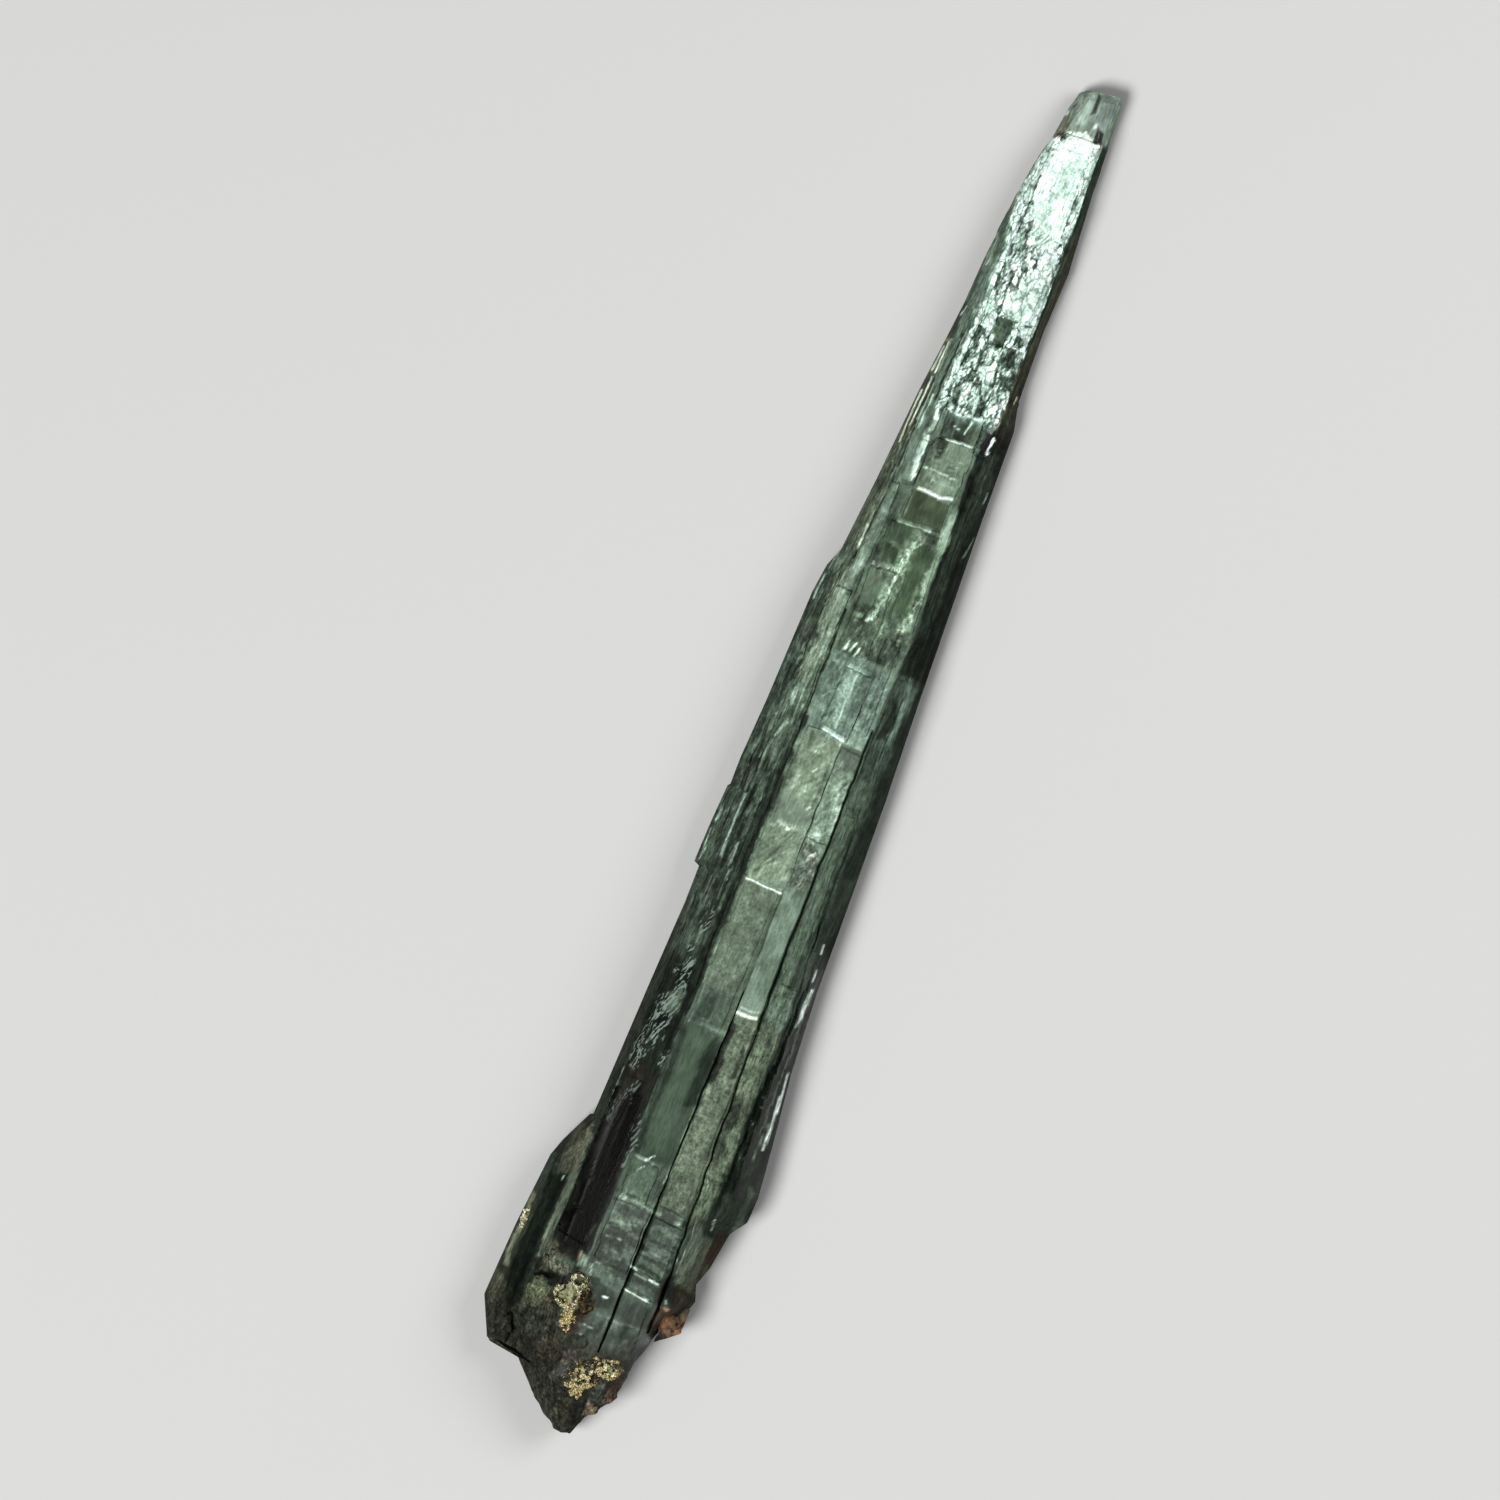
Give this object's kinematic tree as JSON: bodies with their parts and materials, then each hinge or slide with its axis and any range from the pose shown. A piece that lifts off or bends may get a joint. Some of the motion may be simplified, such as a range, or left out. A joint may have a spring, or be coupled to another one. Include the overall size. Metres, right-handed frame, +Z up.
{
  "type": "vivianite crystal specimen",
  "caption": "Long, tapering, flattened green crystal blade lying on its cleavage back, with growth ledges, a broken foot with golden mineral crusts and a rusty knob, for display.",
  "frame": {"origin": "middle of the outline, on the flat surface that the cleavage back lies on", "axes": "+X across the blade to its right edge, +Y along the blade from the broken foot to the tip, +Z up out of the front face"},
  "size_m": [0.0212, 0.14, 0.0112],
  "materials": {
    "vivianite": "glassy to pearly, deep translucent green",
    "golden_crust": "tiny sparkling pale gold crystals",
    "rusty_matrix": "rough earthy rust with an olive glassy top"
  },
  "bodies": {
    "root": {"vivianite_crystal": "vivianite", "golden_crust_front": "golden_crust", "golden_crust_foot": "golden_crust", "golden_crust_side_blade": "golden_crust", "rusty_matrix_knob": "rusty_matrix"}
  },
  "joints": []
}
